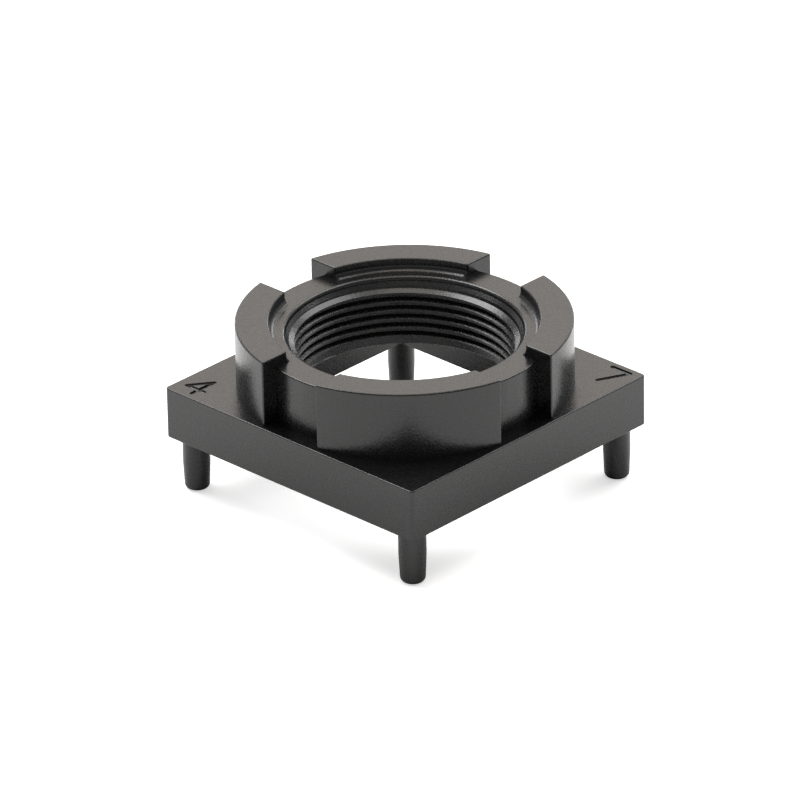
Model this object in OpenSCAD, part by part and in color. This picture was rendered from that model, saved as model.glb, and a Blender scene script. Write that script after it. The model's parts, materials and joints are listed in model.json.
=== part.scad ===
// Screw-in lens mount for a small camera board: a square plate hollowed out
// over the image sensor, a threaded collar crowned by four ribs, and four
// locating pegs. One moulding. Millimetres, +Z up along the lens thread,
// origin on the thread's axis, level with the tips of the pegs.

/* [Plate] */
// Side of the square plate
plate_w = 17.7; // [16:0.1:30]
// Height of the plate, from the board to its top face
plate_h = 2.85; // [2.2:0.05:6]
// Radius of the plate's upright corners
plate_corner_r = 0.25; // [0.1:0.05:1]
// Thickness of the skirt wall around the sensor cavity
skirt_wall = 1.75; // [1.2:0.05:2.4]
// Thickness of the roof over the sensor cavity
roof_h = 0.7; // [0.4:0.05:1.2]
// Radius of the cavity's upright corners
cavity_corner_r = 0.4; // [0.1:0.05:2]

/* [Collar] */
// Height of the collar above the plate
collar_h = 3; // [1.8:0.05:6]
// How far the ribs stand out beyond the collar
rib_stand = 0.95; // [0.4:0.05:1.4]
// How far the ribs stay inside the plate's sides
rib_inset = 0.05; // [0:0.05:0.5]
// How far the ribs rise above the collar's top
rib_rise = 0.65; // [0.6:0.05:2]
// Width of the lens seat, from the mouth to the ribs' inner wall
seat_w = 0.85; // [0.65:0.05:1.4]
// Radius in the corner between the lens seat and the ribs' inner wall
seat_fillet_r = 0.35; // [0.1:0.05:0.4]
// Width of the wrench slots between the ribs
slot_w = 3.75; // [2:0.05:6]

/* [Lens thread] */
// Nominal diameter of the thread
thread_d = 12; // [10:0.1:13]
// Pitch of the thread
thread_pitch = 0.5; // [0.35:0.05:0.75]
// Depth of the mouth, down to the first flank of the thread
mouth_depth = 0.55; // [0.5:0.05:1]
// Radial step that widens the mouth at its top, and leads in at 45 degrees
mouth_step = 0.18; // [0.02:0.01:0.2]
// Depth of the wider part of the mouth
mouth_step_depth = 0.24; // [0.22:0.01:0.28]
// Radius of the round at the mouth's rim
mouth_rim_r = 0.2; // [0.05:0.01:0.2]
// Chamfer where the thread opens into the sensor cavity
exit_chamfer = 0.05; // [0.02:0.01:0.3]

/* [Pegs] */
// Diameter of a peg where it passes through the board
peg_d = 1.45; // [1:0.05:1.9]
// Length of a peg below the plate
peg_len = 3; // [2.2:0.05:6]
// Length of the peg's straight part, from the plate down
peg_straight = 1.45; // [0.8:0.05:1.85]
// How much narrower the peg's tapered end is at its tip
peg_taper = 0.12; // [0:0.01:0.3]
// Radius of the round at the tip's edge
peg_tip_r = 0.27; // [0.1:0.01:0.34]
// Distance from a peg's centre to the plate's sides
peg_inset = 1.1; // [0.95:0.05:1.2]

/* [Edges] */
// Radius of the round along the collar's and the ribs' top edges
edge_r = 0.1; // [0.05:0.01:0.15]

/* [Hidden] */
$fn = 96;

// Depth by which one form runs into the next, so that they fuse
overlap = 0.2;
// Straight pieces in a quarter round
round_steps = 6;

// Heights of the main faces
board_z = peg_len;
plate_top = board_z + plate_h;
roof_z = plate_top - roof_h;
collar_top = plate_top + collar_h;
rib_top = collar_top + rib_rise;

// Radii about the thread's axis: the crests stand 5/8 of the thread's
// 60 degree triangle inside its roots
root_r = thread_d / 2;
thread_r = root_r - 5 / 8 * thread_pitch * cos(30);
mouth_r = root_r + mouth_step;
rib_inner_r = mouth_r + seat_w;
rib_r = plate_w / 2 - rib_inset;
collar_r = rib_r - rib_stand;

// The thread's first flank falls at 30 degrees from the roots to the crests
flank_top = collar_top - mouth_depth;
flank_bottom = flank_top - (root_r - thread_r) * tan(30);

cavity_w = plate_w - 2 * skirt_wall;
peg_pos = plate_w / 2 - peg_inset;
peg_tip_d = peg_d - peg_taper;

// Points of an arc about a centre, from angle a0 to a1
function arc(centre, r, a0, a1) =
    [for (i = [0 : round_steps])
        let (a = a0 + (a1 - a0) * i / round_steps)
        centre + r * [cos(a), sin(a)]];

// Outline of a square with round corners, as a union of exact forms
module rounded_square(w, r) {
    square([w, w - 2 * r], center = true);
    square([w - 2 * r, w], center = true);
    for (x = [-1, 1], y = [-1, 1])
        translate([x, y] * (w / 2 - r)) circle(r);
}

// Square plate that the collar stands on
module plate() {
    translate([0, 0, board_z])
        linear_extrude(plate_h) rounded_square(plate_w, plate_corner_r);
}

// Space under the roof for the image sensor, open towards the board
module sensor_cavity() {
    translate([0, 0, board_z - overlap])
        linear_extrude(roof_z - board_z + overlap)
            rounded_square(cavity_w, cavity_corner_r);
}

// Round collar that holds the lens, with its top edge rounded
module collar() {
    rotate_extrude()
        polygon(concat(
            [[0, plate_top - overlap], [collar_r, plate_top - overlap]],
            arc([collar_r - edge_r, collar_top - edge_r], edge_r, 0, 90),
            [[0, collar_top]]
        ));
}

// Stepped ring that the ribs are cut from. Its foot runs in under the lens
// seat, so that the ribs grow out of the collar, its top edges are rounded,
// and a fillet runs along the seat's corner
module rib_ring() {
    fillet = [rib_inner_r - seat_fillet_r, collar_top + seat_fillet_r];
    rotate_extrude()
        polygon(concat(
            [[0, plate_top - overlap], [rib_r, plate_top - overlap]],
            arc([rib_r - edge_r, rib_top - edge_r], edge_r, 0, 90),
            arc([rib_inner_r + edge_r, rib_top - edge_r], edge_r, 90, 180),
            arc(fillet, seat_fillet_r, 0, -90),
            [[0, collar_top]]
        ));
}

// Two crossed channels with parallel sides, which part the ribs
module wrench_slots() {
    slot_len = 2 * rib_r + 2 * overlap;
    slot_h = rib_top - plate_top + 3 * overlap;
    for (turn = [0, 90])
        rotate([0, 0, turn])
            translate([-slot_len / 2, -slot_w / 2, plate_top - 2 * overlap])
                cube([slot_len, slot_w, slot_h]);
}

// Four ribs, one towards each corner of the plate
module ribs() {
    difference() {
        rib_ring();
        wrench_slots();
    }
}

// Stepped bore: exit chamfer, thread at its crests' size, first flank, and
// the mouth with its lead-in cone and rounded rim
module lens_bore() {
    open_r = mouth_r + mouth_rim_r;
    step_z = collar_top - mouth_step_depth;
    rotate_extrude()
        polygon(concat(
            [
                [0, roof_z - overlap],
                [thread_r + exit_chamfer, roof_z - overlap],
                [thread_r + exit_chamfer, roof_z],
                [thread_r, roof_z + exit_chamfer],
                [thread_r, flank_bottom],
                [root_r, flank_top],
                [root_r, step_z - mouth_step],
                [mouth_r, step_z]
            ],
            arc([open_r, collar_top - mouth_rim_r], mouth_rim_r, 180, 90),
            [[open_r, rib_top + overlap], [0, rib_top + overlap]]
        ));
}

// Locating peg: straight through the board, then tapered to a rounded tip
module peg() {
    tip_centre = [peg_tip_d / 2 - peg_tip_r, peg_tip_r];
    rotate_extrude()
        polygon(concat(
            [[0, 0]],
            arc(tip_centre, peg_tip_r, -90, 0),
            [
                [peg_d / 2, board_z - peg_straight],
                [peg_d / 2, roof_z + roof_h / 2],
                [0, roof_z + roof_h / 2]
            ]
        ));
}

// One peg under each corner of the plate
module pegs() {
    for (x = [-1, 1], y = [-1, 1])
        translate([x * peg_pos, y * peg_pos, 0]) peg();
}

// The whole moulding
module lens_mount() {
    color([0.17, 0.17, 0.18]) {
        difference() {
            union() {
                plate();
                collar();
                ribs();
            }
            sensor_cavity();
            lens_bore();
        }
        pegs();
    }
}

lens_mount();
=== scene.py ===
"""Lens mount for a small camera board: its fine form, its finish and a plain studio.

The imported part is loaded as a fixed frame. One moulded piece stands for it here, worked out
from the same sizes, with what the solid leaves out: the turns of the lens thread, the small
rounds along every edge, the numerals pressed into two corners and the plastic's fine grain.
"""

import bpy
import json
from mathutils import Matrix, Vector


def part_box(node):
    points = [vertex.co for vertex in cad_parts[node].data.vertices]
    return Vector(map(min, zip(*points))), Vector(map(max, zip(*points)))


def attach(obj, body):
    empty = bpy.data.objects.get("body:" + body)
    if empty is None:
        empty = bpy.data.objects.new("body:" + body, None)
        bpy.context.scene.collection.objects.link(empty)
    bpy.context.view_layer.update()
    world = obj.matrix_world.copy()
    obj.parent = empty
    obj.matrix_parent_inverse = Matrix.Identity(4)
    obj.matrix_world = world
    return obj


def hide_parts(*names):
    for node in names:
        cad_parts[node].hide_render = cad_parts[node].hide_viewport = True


bl_info = {
    "name": "Lens Mount",
    "version": (1, 0, 0),
    "blender": (4, 5, 0),
    "location": "3D View > Sidebar > Lens Mount",
    "description": "Builds a moulded screw-in lens mount and a plain studio around it",
    "category": "Object",
}

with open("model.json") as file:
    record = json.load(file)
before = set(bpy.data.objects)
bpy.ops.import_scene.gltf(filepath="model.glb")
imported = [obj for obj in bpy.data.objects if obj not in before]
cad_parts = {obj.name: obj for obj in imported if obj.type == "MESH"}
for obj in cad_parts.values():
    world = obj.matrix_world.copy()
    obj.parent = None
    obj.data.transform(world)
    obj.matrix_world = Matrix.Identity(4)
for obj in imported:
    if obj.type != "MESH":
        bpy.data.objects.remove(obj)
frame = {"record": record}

import json
import math

import bmesh
import bpy
import numpy as np
from bpy.props import FloatProperty, FloatVectorProperty, PointerProperty
from mathutils import Matrix, Vector

MM = 0.001
# In a piece as it is made, corners this close are joined and edges this short are dropped
SEAM_REACH, DUST_LENGTH = 2e-4 * MM, 1e-5 * MM
# In the finished piece, corners this close are joined
WELD_REACH = 1e-4 * MM
# Edges that bend by more than this stay sharp
SHARP_ANGLE = math.radians(28.0)
# Steps of a quarter round along an edge, at the mouth's rim, and in the largest rounds
EDGE_STEPS, RIM_STEPS, FILLET_STEPS = 4, 5, 6
# Values of the noise textures: what counts as lowest and highest, and where flecks start
NOISE_LOW, NOISE_HIGH, PALE_START = 0.3, 0.7, 0.4
# From the part to each softbox, in metres
SOFTBOX_DISTANCE = 0.6
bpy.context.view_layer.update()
LOW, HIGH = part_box("lens_mount")
MOUNTS = {mount["name"]: mount for mount in frame["record"]["mounts"]}
PEGS = MOUNTS["board_pegs"]["dims"]


def length(name, description, default):
    """A property that holds a length in metres."""
    return FloatProperty(
        name=name, description=description, default=default, min=0.0, precision=5,
        subtype="DISTANCE", unit="LENGTH",
    )


def degrees(name, description, default):
    """A property that holds an angle; the default is given in degrees."""
    return FloatProperty(
        name=name, description=description, default=math.radians(default),
        subtype="ANGLE", unit="ROTATION",
    )


def share(name, description, default):
    """A property that holds a number from 0 to 1."""
    return FloatProperty(
        name=name, description=description, default=default, min=0.0, max=1.0, precision=3,
        subtype="FACTOR",
    )


def number(name, description, default):
    """A property that holds a plain number."""
    return FloatProperty(name=name, description=description, default=default, min=0.0)


def colour(name, description, default):
    """A property that holds a colour."""
    return FloatVectorProperty(
        name=name, description=description, default=default, size=3, min=0.0, max=1.0,
        subtype="COLOR",
    )


class LensMountPlate(bpy.types.PropertyGroup):
    """Sizes of the hollow plate and its pegs."""

    side: length("Side", "Side of the square plate", HIGH.x - LOW.x)
    foot_z: length("Foot", "Height of the plate's foot", MOUNTS["board_seat"]["pos_m"][2])
    height: length("Height", "From the plate's foot to its top", 2.85 * MM)
    corner: length("Corner radius", "Radius of the upright corners", 0.25 * MM)
    edge: length("Edge radius", "Radius along the plate's edges", 0.07 * MM)
    skirt: length("Skirt wall", "Wall around the sensor cavity", 1.75 * MM)
    roof: length("Roof", "Thickness of the roof over the cavity", 0.7 * MM)
    cavity_corner: length("Cavity corner", "Radius of the cavity's upright corners", 0.4 * MM)
    cavity_fillet: length("Cavity fillet", "Radius under the cavity's roof", 0.15 * MM)
    peg_spacing: length("Peg spacing", "From peg to peg", PEGS["spacing_x_mm"] * MM)
    peg_r: length("Peg radius", "Radius of a peg", PEGS["stud_r_mm"] * MM)
    peg_straight: length("Straight part", "Length of a peg's straight part", 1.45 * MM)
    peg_tip_r: length("Tip radius", "Radius of a peg near its tip", 0.665 * MM)
    peg_round: length("Tip round", "Radius of the round at the tip's edge", 0.27 * MM)
    peg_fillet: length("Peg fillet", "Radius where a peg meets the plate", 0.08 * MM)


class LensMountCollar(bpy.types.PropertyGroup):
    """Sizes of the collar, its ribs and the lens thread."""

    top_z: length("Seat height", "Height of the seat", MOUNTS["lock_ring_seat"]["pos_m"][2])
    stand: length("Rib stand", "How far the ribs stand out from the collar", 0.95 * MM)
    inset: length("Rib inset", "How far the ribs stay inside the plate's sides", 0.05 * MM)
    slot: length("Slot width", "Width of the slots between the ribs", 3.75 * MM)
    seat: length("Seat width", "From the mouth to the ribs' inner wall", 0.85 * MM)
    fillet: length("Seat fillet", "Radius between the seat and the ribs", 0.35 * MM)
    edge: length("Edge radius", "Radius along the ribs' and the collar's edges", 0.1 * MM)
    crest_r: length("Crest radius", "Thread's crests", MOUNTS["lens_thread"]["dims"]["r_mm"] * MM)
    root_r: length("Root radius", "Thread's roots", 6.0 * MM)
    pitch: length("Pitch", "Pitch of the thread", 0.5 * MM)
    mouth_step: length("Mouth step", "Radial step down the mouth's lead-in cone", 0.18 * MM)
    step_depth: length("Step depth", "Depth of the mouth's wider part", 0.24 * MM)
    rim: length("Mouth rim", "Radius of the round at the mouth's rim", 0.2 * MM)
    start_depth: length("Start depth", "Depth at which the first turn starts", 0.494 * MM)
    start_angle: degrees("Start angle", "Direction in which the first turn starts", -26.2)
    run_in: degrees("Run-in", "Over which the first turn rises to its full height", 25.0)
    run_out: degrees("Run-out", "Over which the last groove closes", 100.0)
    turns: number("Turns", "Turns from the start to the end of the run-out", 6.5)
    exit_chamfer: length("Exit chamfer", "Chamfer at the bore's lower end", 0.05 * MM)


class LensMountMarks(bpy.types.PropertyGroup):
    """The plain numerals pressed into two of the plate's corners."""

    height: length("Height", "Height of a numeral, between its strokes' middles", 1.63 * MM)
    width: length("Width", "Width of a numeral, between its strokes' middles", 1.2 * MM)
    stroke: length("Stroke", "Width of a stroke at the surface", 0.27 * MM)
    depth: length("Depth", "Depth of a stroke", 0.12 * MM)
    inset: length("Inset", "From the plate's sides to a numeral's middle", 1.3 * MM)


class LensMountFinish(bpy.types.PropertyGroup):
    """The moulded plastic's colour and surface."""

    dark: colour("Colour", "Colour of the plastic", (0.0036, 0.0033, 0.0036))
    light: colour("Paler colour", "Colour of its paler flecks", (0.0060, 0.0056, 0.0059))
    fleck: length("Flecks", "Size of the paler flecks", 0.25 * MM)
    smooth: share("Roughness", "Roughness between the grains", 0.24)
    rough: share("Highest roughness", "Roughness on the grains", 0.32)
    grain: length("Grain", "Size of the mould texture's grains", 0.16 * MM)
    grain_height: length("Grain height", "Height of the grains", 0.009 * MM)
    wave: length("Waves", "Size of the surface's faint waves", 1.2 * MM)
    wave_height: length("Wave height", "Height of the faint waves", 0.004 * MM)


class LensMountStudio(bpy.types.PropertyGroup):
    """The camera, the floor and the light."""

    azimuth: degrees("Azimuth", "Direction of the camera, from the front", 43.995)
    elevation: degrees("Elevation", "Height angle of the camera", 26.955)
    roll: degrees("Roll", "Turn of the camera about its view", -1.053)
    distance: length("Distance", "From the camera to the plate's top", 413.6 * MM)
    aim_right: length("Aim right", "View's middle, to the left of the thread's axis", 0.284 * MM)
    aim_up: length("Aim up", "View's middle, below the plate's top", 0.985 * MM)
    focal: number("Focal length", "Focal length of the camera in millimetres", 358.4)
    floor: colour("Floor", "Colour of the floor", (0.8, 0.8, 0.8))
    floor_glow: number("Floor glow", "Light of the floor's own, where it is seen directly", 0.56)
    # The dim spot is a painted shadow: round the part's foot the floor's glow is cut, in the
    # part's reflections only, standing in for the shade under the part.
    painted_shadow_r: length("Dim spot", "Radius of the dim spot that the part's gloss mirrors", 10.0 * MM)
    painted_shadow_edge: length("Dim spot's edge", "Width of the dim spot's soft edge", 14.0 * MM)
    wall_top: degrees("Wall top", "Height angle at which the pale walls start to fade", 17.0)
    ceiling_edge: degrees("Ceiling edge", "Height angle at which the ceiling starts", 23.0)
    ceiling: share("Ceiling", "Strength of the ceiling, next to the walls", 0.3)
    lamps: number("Lamps", "Strength of all the lamps, next to their own powers", 1.0)
    warm: colour("Warm light", "Colour of the lights behind and above", (1.0, 0.93, 0.85))


def smooth(value):
    """Smooth step: 3 v squared less 2 v cubed, with v held between 0 and 1."""
    value = np.clip(value, 0.0, 1.0)
    return value * value * (3.0 - 2.0 * value)


def section(radius, height):
    """A stretch of a section: radii and heights, a row for each point of it."""
    radius, height = np.atleast_1d(radius), np.atleast_1d(height)
    if radius.ndim == height.ndim == 1:
        radius, height = radius[:, None], height[:, None]
    return np.stack(np.broadcast_arrays(radius, height))


def arc(centre, radius, start, end, steps):
    """An arc of a section, a row for each step: centre + radius (cos a, sin a).

    The angle a goes from start to end in equal steps, in degrees.
    """
    angle = np.radians(np.linspace(start, end, steps + 1)).reshape(steps + 1, -1)
    return section(centre[0] + radius * np.cos(angle), centre[1] + radius * np.sin(angle))


class Columns:
    """Where the moulding's sections stand in one quarter turn, from one slot to the next.

    In a slot, and across the round at a rib's end, a section keeps its lateral distance from
    the slot's middle line. Along a rib it keeps its share of the arc between the rounds. Its
    angle at a radius is A + share (90 degrees - 2 A), with sin A = lateral / radius. The
    inset says how far the rib's section is drawn in by the round at the rib's end.
    """

    slot_steps, end_steps, rib_steps = 8, 4, 44
    straight_share = 0.41

    def __init__(self, collar):
        edge = collar.edge
        self.half_slot = collar.slot / 2
        self.least_r = collar.root_r + collar.mouth_step + collar.rim
        slot = np.linspace(0.0, self.half_slot, self.slot_steps + 1)
        turn = np.linspace(0.0, math.pi / 2, self.end_steps + 1)
        along = np.linspace(0.0, 1.0, self.rib_steps + 1)[1:-1]
        lateral = np.concatenate([slot, self.half_slot + edge * (1.0 - np.cos(turn))])
        inset = np.concatenate([np.full(len(slot), edge), edge * (1.0 - np.sin(turn))])
        middle = np.full(len(along), lateral[-1])
        self.lateral = np.concatenate([lateral, middle, lateral[:0:-1]])
        self.inset = np.concatenate([inset, 0.0 * middle, inset[:0:-1]])
        self.share = np.concatenate([0.0 * lateral, along, 1.0 + 0.0 * lateral[1:]])
        place = np.arange(len(self.share))
        self.on_rib = (place > self.slot_steps) & (place < len(place) - self.slot_steps)

    def angle(self, radius):
        """Angle of each section at a radius; inside the seat the sections run straight in."""
        reach = np.arcsin(self.lateral / np.maximum(radius, self.least_r))
        return reach + self.share * (math.pi / 2 - 2.0 * reach)

    def rings(self, profile):
        """Rows of points at the profile's radii and heights: (r cos a, r sin a, z)."""
        radius, height = profile + np.zeros(len(self.share))
        angle = self.angle(radius)
        return np.stack([radius * np.cos(angle), radius * np.sin(angle), height], -1)

    def squares(self, profile, corner):
        """Rows of points on squares with round corners, at half sides and heights.

        A quarter of the outline is half a side, a quarter circle and half a side. The
        straight share is the part of a rib's columns that each half side gets.
        """
        half, height = profile + np.zeros(len(self.share))
        inner = half - np.reshape(corner, (-1, 1))
        straight = self.straight_share
        bend = (self.share - straight) / (1.0 - 2.0 * straight)
        bend = math.pi / 2 * np.clip(bend, 0.0, 1.0)
        near = np.clip(self.share / straight, 0.0, 1.0)
        far = np.clip((1.0 - self.share) / straight, 0.0, 1.0)
        x = inner + (half - inner) * np.cos(bend)
        y = inner + (half - inner) * np.sin(bend)
        x = np.where(far < 1.0, self.lateral + (inner - self.lateral) * far, x)
        y = np.where(near < 1.0, self.lateral + (inner - self.lateral) * near, y)
        return np.stack([x, y, height], -1)


def thread_radius(collar, angle, z):
    """Radius of the bore's wall at an angle and a height.

    The height above the first ridge, in pitches and less the share of a turn, counts the
    turns. Each ridge has a crest of a quarter pitch and 30 degree flanks down to a root of
    an eighth. The first ridge grows from nothing over the run-in, and the last groove
    closes over the run-out. Radius = root - depth times the higher of ridge and closing.
    """
    crest_edge, root_edge = 1 / 8, 1 / 2 - 1 / 16
    start = collar.top_z - collar.start_depth
    turn = angle / math.tau
    begin = collar.start_angle / math.tau
    count = (z - start) / collar.pitch + begin - turn
    ridge_turn = turn + np.round(count)
    away = np.abs(count - np.round(count))
    ridge = np.clip((root_edge - away) / (root_edge - crest_edge), 0.0, 1.0)
    ridge = ridge * smooth((begin - ridge_turn) * math.tau / collar.run_in)
    groove_turn = turn + np.floor(count) - begin + collar.turns
    closing = 1.0 - smooth(groove_turn * math.tau / collar.run_out)
    depth = collar.root_r - collar.crest_r
    return collar.root_r - depth * np.maximum(ridge, closing)


def mouth_sections(collar):
    """The mouth from its lead-in cone over the rounded rim to the seat, as radii and heights."""
    step_z = collar.top_z - collar.step_depth
    mouth_r = collar.root_r + collar.mouth_step
    step = section([collar.root_r, mouth_r], [step_z - collar.mouth_step, step_z])
    rim = arc((mouth_r + collar.rim, collar.top_z - collar.rim), collar.rim, 180, 90, RIM_STEPS)
    return np.concatenate([step, rim], 1)


def rib_sections(plate, collar, columns):
    """The ribs' and the slots' sections from the seat to the plate's top.

    A rib's section goes up the fillet and the inner wall, over the top with its two rounds,
    and down the outer wall. It is drawn in by the inset: convex rounds lose it and the
    fillet gains it. A slot's section stays on the seat, goes down the collar and out, in
    as many rows as the rib's.
    """
    wall_steps = 3
    edge, inset, fillet = collar.edge, columns.inset, collar.fillet
    plate_top = plate.foot_z + plate.height
    rib_top = HIGH.z
    inner_r = collar.root_r + collar.mouth_step + collar.seat
    outer_r = plate.side / 2 - collar.inset
    collar_r = outer_r - collar.stand
    foot = -np.degrees(np.arcsin(fillet / (fillet + inset)))
    down = np.linspace(0.0, 1.0, wall_steps + 1)[1:, None]
    wall_top = rib_top - edge
    rib = np.concatenate([
        arc(
            (inner_r - fillet, collar.top_z + fillet), fillet + inset, foot, 0 * foot,
            FILLET_STEPS,
        ),
        arc((inner_r + edge, wall_top), edge - inset, 180, 90, EDGE_STEPS),
        arc((outer_r - edge, wall_top), edge - inset, 90, 0, EDGE_STEPS),
        section(outer_r - inset, wall_top - (wall_top - plate_top) * down),
    ], 1)
    seat_start = rib[0, 0]
    seat = np.linspace(seat_start, collar_r - edge + 0 * seat_start, FILLET_STEPS + 1)
    rim = arc((collar_r - edge, collar.top_z - edge), edge, 90, 0, EDGE_STEPS)
    wall = section(collar_r, [(collar.top_z + plate_top) / 2, plate_top])
    lateral = np.minimum(columns.lateral, columns.half_slot)
    out_near = np.sqrt(collar_r**2 - lateral**2)
    out_far = math.sqrt((outer_r - edge) ** 2 - columns.half_slot**2)
    reach = np.linspace(out_near, out_far + 0 * out_near, EDGE_STEPS + wall_steps)[1:]
    none = np.zeros(len(lateral))
    slot = np.concatenate([
        section(seat, collar.top_z),
        rim + none,
        wall + none,
        section(np.hypot(reach, lateral), plate_top),
    ], 1)
    return np.where(columns.on_rib, rib, slot)


def plate_rows(plate, collar, columns, last_row):
    """Rows from the plate's top outline down its side, underneath and up into the cavity."""
    half, edge, corner = plate.side / 2, plate.edge, plate.corner
    top, foot = plate.foot_z + plate.height, plate.foot_z
    roof_z, cavity, fillet = top - plate.roof, half - plate.skirt, plate.cavity_fillet
    upper = arc((half - edge, top - edge), edge, 90, 0, EDGE_STEPS)
    lower = arc((half - edge, foot + edge), edge, 0, -90, EDGE_STEPS)
    outer = np.concatenate([upper, lower], 1)
    outer_corner = corner - half + outer[0]
    mouth = arc((cavity + edge, foot + edge), edge, 270, 180, EDGE_STEPS)
    ceiling = arc((cavity - fillet, roof_z - fillet), fillet, 0, 90, EDGE_STEPS)
    inner = np.concatenate([mouth, ceiling], 1)
    inner_corner = plate.cavity_corner - cavity + inner[0]
    outline = columns.squares(outer, outer_corner)
    hollow = columns.squares(inner, inner_corner)
    bridge = (last_row + outline[0]) / 2
    exit_r = collar.crest_r + collar.exit_chamfer
    bore = columns.rings(section(exit_r, roof_z))
    return np.concatenate([bridge[None], outline, hollow, bore])


def thread_rows(plate, collar, angle):
    """The bore's wall as a ribbon wound in a helix, so that its rows follow the crests.

    A row's height is the first ridge's plus a pitch times (row + angle / full turn), held
    between the exit chamfer and the mouth. Its radius is the thread's there, and a last row
    takes the top of the ribbon out to the foot of the mouth's cone.
    """
    steps_per_pitch = 16
    top = collar.top_z - collar.step_depth - collar.mouth_step
    bottom = plate.foot_z + plate.height - plate.roof + collar.exit_chamfer
    ridge_z = collar.top_z - collar.start_depth - collar.pitch * collar.start_angle / math.tau
    low = math.floor((bottom - ridge_z) / collar.pitch) - 1
    high = math.ceil((top - ridge_z) / collar.pitch)
    row = np.arange(low * steps_per_pitch, high * steps_per_pitch + 1)[:, None]
    row = row / steps_per_pitch
    z = ridge_z + collar.pitch * (row + angle / math.tau)
    z = np.clip(z, bottom, top)
    radius = np.concatenate([thread_radius(collar, angle, z), collar.root_r + 0.0 * z[-1:]])
    z = np.concatenate([z, z[-1:]])
    return np.stack([radius * np.cos(angle), radius * np.sin(angle), z], -1)


def quarter_turns(rows):
    """The rows repeated in four quarter turns; each turn gives its last column to the next."""
    turns = []
    for x, y in ((1, 0), (0, 1), (-1, 0), (0, -1)):
        turn = np.array([[x, y, 0], [-y, x, 0], [0, 0, 1]])
        turns.append(rows[:, :-1] @ turn)
    return np.concatenate(turns, 1)


def peg_rows(plate, embed):
    """A peg as rows about its own axis, from its tip's middle up into the plate.

    Its profile is a flat tip, a quarter round, a taper, the straight part and a fillet.
    """
    foot, fillet = plate.foot_z, plate.peg_fillet
    steps = 64
    tip_round = plate.peg_round
    tip = arc((plate.peg_tip_r - tip_round, tip_round), tip_round, -90, 0, FILLET_STEPS)
    wide = plate.peg_r + fillet
    root = arc((wide, foot - fillet), fillet, 180, 90, EDGE_STEPS)
    start, end = section(0.0, 0.0), section([wide, 0.0], [foot + embed] * 2)
    shoulder = section(plate.peg_r, foot - plate.peg_straight)
    profile = np.concatenate([start, tip, shoulder, root, end], 1)
    angle = np.linspace(0.0, math.tau, steps + 1)[:-1]
    radius, height = profile + np.zeros(len(angle))
    return np.stack([radius * np.cos(angle), radius * np.sin(angle), height], -1)


def stroke_rows(start, end, marks, surface):
    """A straight groove with round ends as rows of outlines, from above the face to its floor.

    An outline is the two half circles of a width about the stroke's ends. The depth grows as
    the sine of an angle, and the width shrinks as its cosine to the power of the fullness.
    """
    points = 13
    fullness = 0.8
    along = end - start
    heading = math.atan2(along[1], along[0])
    turn = np.linspace(-math.pi / 2, math.pi / 2, points)
    angle = heading + np.concatenate([turn, turn + math.pi])
    middle = np.repeat([end, start], points, 0)
    sink = np.radians([-12.0, 0.0, 15.0, 30.0, 45.0, 60.0, 72.0])
    width = marks.stroke / 2 * np.append(np.cos(sink) ** fullness, 0.0)
    drop = marks.depth * np.append(np.sin(sink) / np.sin(sink[-1]), 1.0)
    x = middle[:, 0] + width[:, None] * np.cos(angle)
    y = middle[:, 1] + width[:, None] * np.sin(angle)
    return np.stack([x, y, surface - drop[:, None] + 0.0 * x], -1)


def grid_faces(rows, columns, closed, first=0):
    """Four-cornered faces of a grid of points, turned so that they face out to its left."""
    row = np.arange(rows - 1)[:, None] * columns
    column = np.arange(columns if closed else columns - 1)
    beside = (column + 1) % columns
    corners = [row + column, row + columns + column, row + columns + beside, row + beside]
    return first + np.stack(corners, -1).reshape(-1, 4)


def write_closed(shape, mesh):
    """Writes a bmesh to its mesh, and raises if an edge of it is open."""
    loose = sum(not edge.is_manifold for edge in shape.edges)
    shape.to_mesh(mesh)
    shape.free()
    if loose:
        raise RuntimeError(f"{mesh.name} has {loose} open edges")


def solid(name, *grids):
    """A closed mesh object from grids of points, each with whether its columns close."""
    points, faces, count = [], [], 0
    for rows, closed in grids:
        faces.append(grid_faces(*rows.shape[:2], closed, count))
        points.append(rows.reshape(-1, 3))
        count += len(points[-1])
    mesh = bpy.data.meshes.new(name)
    mesh.from_pydata(np.concatenate(points).tolist(), [], np.concatenate(faces).tolist())
    shape = bmesh.new()
    shape.from_mesh(mesh)
    bmesh.ops.remove_doubles(shape, verts=shape.verts, dist=SEAM_REACH)
    bmesh.ops.dissolve_degenerate(shape, edges=shape.edges, dist=DUST_LENGTH)
    ends = [edge for edge in shape.edges if edge.is_boundary]
    bmesh.ops.holes_fill(shape, edges=ends)
    bmesh.ops.recalc_face_normals(shape, faces=shape.faces)
    write_closed(shape, mesh)
    piece = bpy.data.objects.new(name, mesh)
    bpy.context.scene.collection.objects.link(piece)
    return piece


def apply_changes(piece):
    """Gives the piece the mesh that its modifiers make, and removes them."""
    graph = bpy.context.evaluated_depsgraph_get()
    mesh = bpy.data.meshes.new_from_object(piece.evaluated_get(graph))
    piece.modifiers.clear()
    piece.data = mesh


def combine(piece, tools, operation):
    """Adds the tools to the piece, or cuts them out of it, and removes them."""
    for tool in tools:
        change = piece.modifiers.new(tool.name, "BOOLEAN")
        change.operation, change.solver, change.object = operation, "MANIFOLD", tool
    apply_changes(piece)
    for tool in tools:
        bpy.data.objects.remove(tool)


def weld(mesh, reach):
    """Joins corners that lie closer together than the reach."""
    shape = bmesh.new()
    shape.from_mesh(mesh)
    bmesh.ops.remove_doubles(shape, verts=shape.verts, dist=reach)
    write_closed(shape, mesh)


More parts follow.
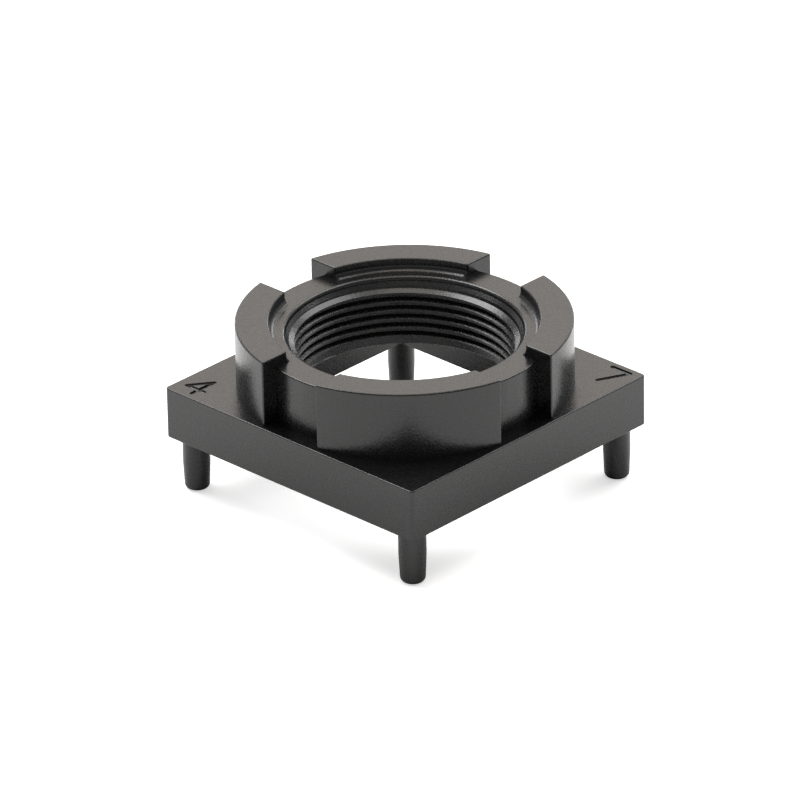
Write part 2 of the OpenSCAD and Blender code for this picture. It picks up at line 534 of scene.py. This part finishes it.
def finish_surface(piece):
    """Smooth faces between sharp edges, and flats that keep their own light.

    The weighted normals are worked out on the piece in millimetres, because in metres the
    narrowest faces are too small to count, and then kept on the piece in metres.
    """
    mesh = piece.data
    weld(mesh, WELD_REACH)
    places = np.empty(3 * len(mesh.vertices), np.float32)
    mesh.vertices.foreach_get("co", places)
    mesh.vertices.foreach_set("co", places / MM)
    mesh.polygons.foreach_set("use_smooth", np.ones(len(mesh.polygons), bool))
    mesh.set_sharp_from_angle(angle=SHARP_ANGLE)
    weights = piece.modifiers.new("Flat faces lead", "WEIGHTED_NORMAL")
    weights.keep_sharp = True
    weights.weight = 100
    apply_changes(piece)
    piece.data.vertices.foreach_set("co", places)
    piece.data.update()


def mount_body(plate, collar):
    """The moulding without its pegs: one closed surface round the bore."""
    columns = Columns(collar)
    shell = columns.rings(np.concatenate([
        mouth_sections(collar) + np.zeros(len(columns.share)),
        rib_sections(plate, collar, columns),
    ], 1))
    shell = np.concatenate([shell, plate_rows(plate, collar, columns, shell[-1])])
    shell = quarter_turns(shell)
    sections = columns.angle(columns.least_r)[:-1]
    angle = np.concatenate([sections + turn * math.pi / 2 for turn in range(4)] + [[math.tau]])
    bore = thread_rows(plate, collar, angle)
    chamfer = np.stack([shell[-1], bore[0, :-1]])
    return solid("lens_mount_moulding", (shell, True), (chamfer, True), (bore, False))


def peg_pieces(plate):
    """Four pegs, one under each corner of the plate."""
    reach = plate.peg_spacing / 2
    rows = peg_rows(plate, plate.roof / 2)
    return [
        solid(f"peg_{x}_{y}", (rows + np.array([x * reach, y * reach, 0.0]), True))
        for x in (-1, 1) for y in (-1, 1)
    ]


NUMERALS = {
    "4": (((0.7, 0.0), (0.7, 1.0)), ((0.7, 1.0), (0.0, 0.3)), ((0.0, 0.3), (1.0, 0.3))),
    "7": (((0.0, 1.0), (1.0, 1.0)), ((1.0, 1.0), (0.35, 0.0))),
}


def numeral_cutters(plate, marks):
    """The strokes of the two numerals, a 4 in one corner and a 7 across from it."""
    surface = plate.foot_z + plate.height
    size = np.array([marks.width, marks.height])
    reach = plate.side / 2 - marks.inset
    cutters = []
    for numeral, side in (("4", -1), ("7", 1)):
        corner = side * reach - size / 2
        for ends in NUMERALS[numeral]:
            start, end = corner + np.array(ends) * size
            rows = stroke_rows(start, end, marks, surface)
            cutters.append(solid(f"stroke_{len(cutters)}", (rows, True)))
    return cutters


def add_node(tree, kind, inputs=(), **settings):
    """A shader node with its settings; an input is a value or another node's socket."""
    node = tree.nodes.new(kind)
    for name, value in settings.items():
        setattr(node, name, value)
    for name, value in dict(inputs).items():
        if isinstance(value, bpy.types.NodeSocket):
            tree.links.new(value, node.inputs[name])
        else:
            node.inputs[name].default_value = value
    return node


def new_material(name):
    """An empty node material."""
    material = bpy.data.materials.new(name)
    material.use_nodes = True
    material.node_tree.nodes.clear()
    return material


def noise(tree, place, size, **inputs):
    """The values of a noise texture with features of a size, in metres."""
    return add_node(tree, "ShaderNodeTexNoise", {
        "Vector": place, "Scale": 1.0 / size, **inputs,
    }).outputs["Fac"]


def bump(tree, height, distance, **inputs):
    """A normal tilted by a texture's heights, which are up to a distance."""
    return add_node(tree, "ShaderNodeBump", {
        "Height": height, "Distance": distance, "Strength": 1.0, **inputs,
    }).outputs["Normal"]


def mapped(tree, value, span, result=(0.0, 1.0), **settings):
    """A value mapped from its span to a result from first to last."""
    return add_node(tree, "ShaderNodeMapRange", {
        "Value": value, "From Min": span[0], "From Max": span[1],
        "To Min": result[0], "To Max": result[1],
    }, **settings).outputs["Result"]


def math_of(tree, operation, one, other):
    """A sum, product or the like of two sockets or numbers."""
    return add_node(tree, "ShaderNodeMath", {0: one, 1: other}, operation=operation).outputs[0]


def satin_black_plastic(finish):
    """Black plastic from a finely textured mould: satin, with small flecks and faint waves."""
    material = new_material("satin_black_plastic")
    tree = material.node_tree
    place = add_node(tree, "ShaderNodeTexCoord").outputs["Object"]
    grain = noise(tree, place, finish.grain, Detail=3.0, Roughness=0.6)
    fleck = noise(tree, place, finish.fleck, Detail=4.0, Roughness=0.65)
    wave = noise(tree, place, finish.wave, Detail=1.0)
    tint = add_node(tree, "ShaderNodeMix", {
        "Factor": mapped(tree, fleck, (PALE_START, NOISE_HIGH)),
        "A": (*finish.dark, 1.0), "B": (*finish.light, 1.0),
    }, data_type="RGBA").outputs["Result"]
    gloss = mapped(tree, grain, (NOISE_LOW, NOISE_HIGH), (finish.smooth, finish.rough))
    waves = bump(tree, wave, finish.wave_height)
    grains = bump(tree, grain, finish.grain_height, Normal=waves)
    surface = add_node(tree, "ShaderNodeBsdfPrincipled", {
        "Base Color": tint, "Roughness": gloss, "IOR": 1.5, "Normal": grains,
    })
    add_node(tree, "ShaderNodeOutputMaterial", {"Surface": surface.outputs["BSDF"]})
    return material


def floor_material(studio):
    """Matt pale floor that keeps shadows, lifted to white where it is seen directly.

    In the part's gloss it is lifted too, except round the part's foot, where the glow fades out:
    a painted shadow, seen only in the part's reflections.
    """
    material = new_material("pale_floor")
    tree = material.node_tree
    path = add_node(tree, "ShaderNodeLightPath").outputs
    place = add_node(tree, "ShaderNodeTexCoord").outputs["Object"]
    away = add_node(tree, "ShaderNodeVectorMath", {0: place}, operation="LENGTH").outputs["Value"]
    # Painted shadow: the glow that the part's gloss sees fades out towards the part's foot.
    painted_shadow_span = (studio.painted_shadow_r, studio.painted_shadow_r + studio.painted_shadow_edge)
    outside_painted_shadow = mapped(tree, away, painted_shadow_span, interpolation_type="SMOOTHSTEP")
    mirrored = math_of(tree, "MULTIPLY", path["Is Glossy Ray"], outside_painted_shadow)
    seen = math_of(tree, "MAXIMUM", path["Is Camera Ray"], path["Is Transmission Ray"])
    lifted = math_of(tree, "MAXIMUM", seen, mirrored)
    lift = math_of(tree, "MULTIPLY", lifted, studio.floor_glow)
    matt = add_node(tree, "ShaderNodeBsdfDiffuse", {"Color": (*studio.floor, 1.0)})
    glow = add_node(tree, "ShaderNodeEmission", {"Strength": lift})
    both = add_node(tree, "ShaderNodeAddShader", {
        0: matt.outputs["BSDF"], 1: glow.outputs["Emission"],
    })
    add_node(tree, "ShaderNodeOutputMaterial", {"Surface": both.outputs["Shader"]})
    return material


def pale_world(studio):
    """Pale walls all round under a dimmer ceiling; seen directly, all of it is as pale."""
    world = bpy.data.worlds.new("pale_surround")
    world.use_nodes = True
    tree = world.node_tree
    tree.nodes.clear()
    heading = add_node(tree, "ShaderNodeTexCoord").outputs["Generated"]
    height = add_node(tree, "ShaderNodeSeparateXYZ", {"Vector": heading}).outputs["Z"]
    fade = (math.sin(studio.wall_top), math.sin(studio.ceiling_edge))
    wall = mapped(tree, height, fade, (1.0, studio.ceiling))
    path = add_node(tree, "ShaderNodeLightPath").outputs
    seen = math_of(tree, "MAXIMUM", path["Is Camera Ray"], path["Is Transmission Ray"])
    strength = math_of(tree, "MAXIMUM", seen, wall)
    light = add_node(tree, "ShaderNodeBackground", {"Strength": strength})
    add_node(tree, "ShaderNodeOutputWorld", {"Surface": light.outputs["Background"]})
    return world


def view_axes(azimuth, elevation):
    """The directions right, up and back of someone who looks at the part from an angle."""
    right = Vector((math.cos(azimuth), math.sin(azimuth), 0.0))
    back = Vector((
        math.sin(azimuth) * math.cos(elevation),
        -math.cos(azimuth) * math.cos(elevation),
        math.sin(elevation),
    ))
    return right, back.cross(right), back


def placed(position, axes):
    """The matrix of an object at a position, turned to three axes."""
    turn = Matrix(axes).transposed().to_4x4()
    turn.translation = position
    return turn


def add_camera(studio, target):
    """The camera, at the studio's angle to the part."""
    right, up, back = view_axes(studio.azimuth, studio.elevation)
    turn = Matrix.Rotation(studio.roll, 3, back)
    right, up = turn @ right, turn @ up
    lens = bpy.data.cameras.new("camera")
    lens.lens = studio.focal
    lens.clip_start, lens.clip_end = 0.01, 10.0
    camera = bpy.data.objects.new("camera", lens)
    position = target + back * studio.distance - right * studio.aim_right - up * studio.aim_up
    camera.matrix_world = placed(position, (right, up, back))
    bpy.context.scene.collection.objects.link(camera)
    bpy.context.scene.camera = camera


SOFTBOXES = {
    "back_softbox": (0.0, 34.0, 0.32, 0.27, 0.55),
    "left_rim_softbox": (-22.5, 15.0, 0.16, 0.11, 0.24),
    "right_rim_softbox": (22.5, 15.0, 0.16, 0.11, 0.24),
    "left_softbox": (-53.0, 56.0, 0.34, 0.28, 3.0),
    "right_softbox": (50.0, 50.0, 0.34, 0.34, 1.8),
    "top_softbox": (0.0, 90.0, 0.3, 0.3, 0.85),
}


def add_softbox(name, target, studio):
    """An oblong lamp that faces the part.

    Its values are the turn to the right from straight behind the part and the height angle
    in degrees, the width and height in metres, and the power in watts.
    """
    turn, height_angle, width, height, watts = SOFTBOXES[name]
    azimuth = studio.azimuth + math.pi - math.radians(turn)
    right, up, back = view_axes(azimuth, math.radians(height_angle))
    lamp = bpy.data.lights.new(name, "AREA")
    lamp.shape = "RECTANGLE"
    lamp.size, lamp.size_y = width, height
    lamp.energy = watts * studio.lamps
    if turn == 0.0:
        lamp.color = studio.warm
    softbox = bpy.data.objects.new(name, lamp)
    softbox.matrix_world = placed(target + back * SOFTBOX_DISTANCE, (right, up, back))
    bpy.context.scene.collection.objects.link(softbox)


class LENSMOUNT_OT_moulding(bpy.types.Operator):
    """Build the moulding with its thread, pegs and numerals"""

    bl_idname = "lensmount.moulding"
    bl_label = "Build Moulding"

    def execute(self, context):
        """Builds the body, joins the pegs to it and presses the numerals in."""
        plate = context.scene.lens_mount_plate
        piece = mount_body(plate, context.scene.lens_mount_collar)
        combine(piece, peg_pieces(plate), "UNION")
        combine(piece, numeral_cutters(plate, context.scene.lens_mount_marks), "DIFFERENCE")
        finish_surface(piece)
        piece.data.materials.clear()
        piece.data.materials.append(satin_black_plastic(context.scene.lens_mount_finish))
        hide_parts("lens_mount")
        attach(piece, "root")
        return {"FINISHED"}


class LENSMOUNT_OT_studio(bpy.types.Operator):
    """Build the floor, the light and the camera"""

    bl_idname = "lensmount.studio"
    bl_label = "Build Studio"

    def execute(self, context):
        """Lays the floor, hangs the lamps and sets the camera."""
        studio = context.scene.lens_mount_studio
        plate = context.scene.lens_mount_plate
        target = Vector((0.0, 0.0, plate.foot_z + plate.height))
        reach = 3.0
        mesh = bpy.data.meshes.new("studio_floor")
        corners = [(-reach, -reach, 0), (reach, -reach, 0), (reach, reach, 0), (-reach, reach, 0)]
        mesh.from_pydata(corners, [], [(0, 1, 2, 3)])
        floor = bpy.data.objects.new("studio_floor", mesh)
        mesh.materials.append(floor_material(studio))
        context.scene.collection.objects.link(floor)
        context.scene.world = pale_world(studio)
        for name in SOFTBOXES:
            add_softbox(name, target, studio)
        add_camera(studio, target)
        context.scene.view_settings.view_transform = "Standard"
        return {"FINISHED"}


class LENSMOUNT_PT_panel(bpy.types.Panel):
    """Lists the pieces that can be built and their sizes"""

    bl_label = "Lens Mount"
    bl_idname = "LENSMOUNT_PT_panel"
    bl_space_type = "VIEW_3D"
    bl_region_type = "UI"
    bl_category = "Lens Mount"

    def draw(self, context):
        """Draws a button for each operator, and the values that it uses.

        A group's first two properties are Blender's own.
        """
        groups = {
            LENSMOUNT_OT_moulding: ("plate", "collar", "marks", "finish"),
            LENSMOUNT_OT_studio: ("studio",),
        }
        for operator, names in groups.items():
            self.layout.operator(operator.bl_idname)
            for name in names:
                values = getattr(context.scene, f"lens_mount_{name}")
                box = self.layout.box()
                box.label(text=name.capitalize())
                for value in values.bl_rna.properties.keys()[2:]:
                    box.prop(values, value)


GROUPS = {
    "lens_mount_plate": LensMountPlate,
    "lens_mount_collar": LensMountCollar,
    "lens_mount_marks": LensMountMarks,
    "lens_mount_finish": LensMountFinish,
    "lens_mount_studio": LensMountStudio,
}
CLASSES = (*GROUPS.values(), LENSMOUNT_OT_moulding, LENSMOUNT_OT_studio, LENSMOUNT_PT_panel)


def register():
    """Registers the classes and gives the scene its groups of values."""
    for item in CLASSES:
        bpy.utils.register_class(item)
    for name, group in GROUPS.items():
        setattr(bpy.types.Scene, name, PointerProperty(type=group))


def unregister():
    """Takes back what register does."""
    for name in GROUPS:
        delattr(bpy.types.Scene, name)
    for item in reversed(CLASSES):
        bpy.utils.unregister_class(item)


def main():
    """Builds everything."""
    register()
    bpy.ops.lensmount.studio()
    bpy.ops.lensmount.moulding()


if __name__ == "__main__":
    main()
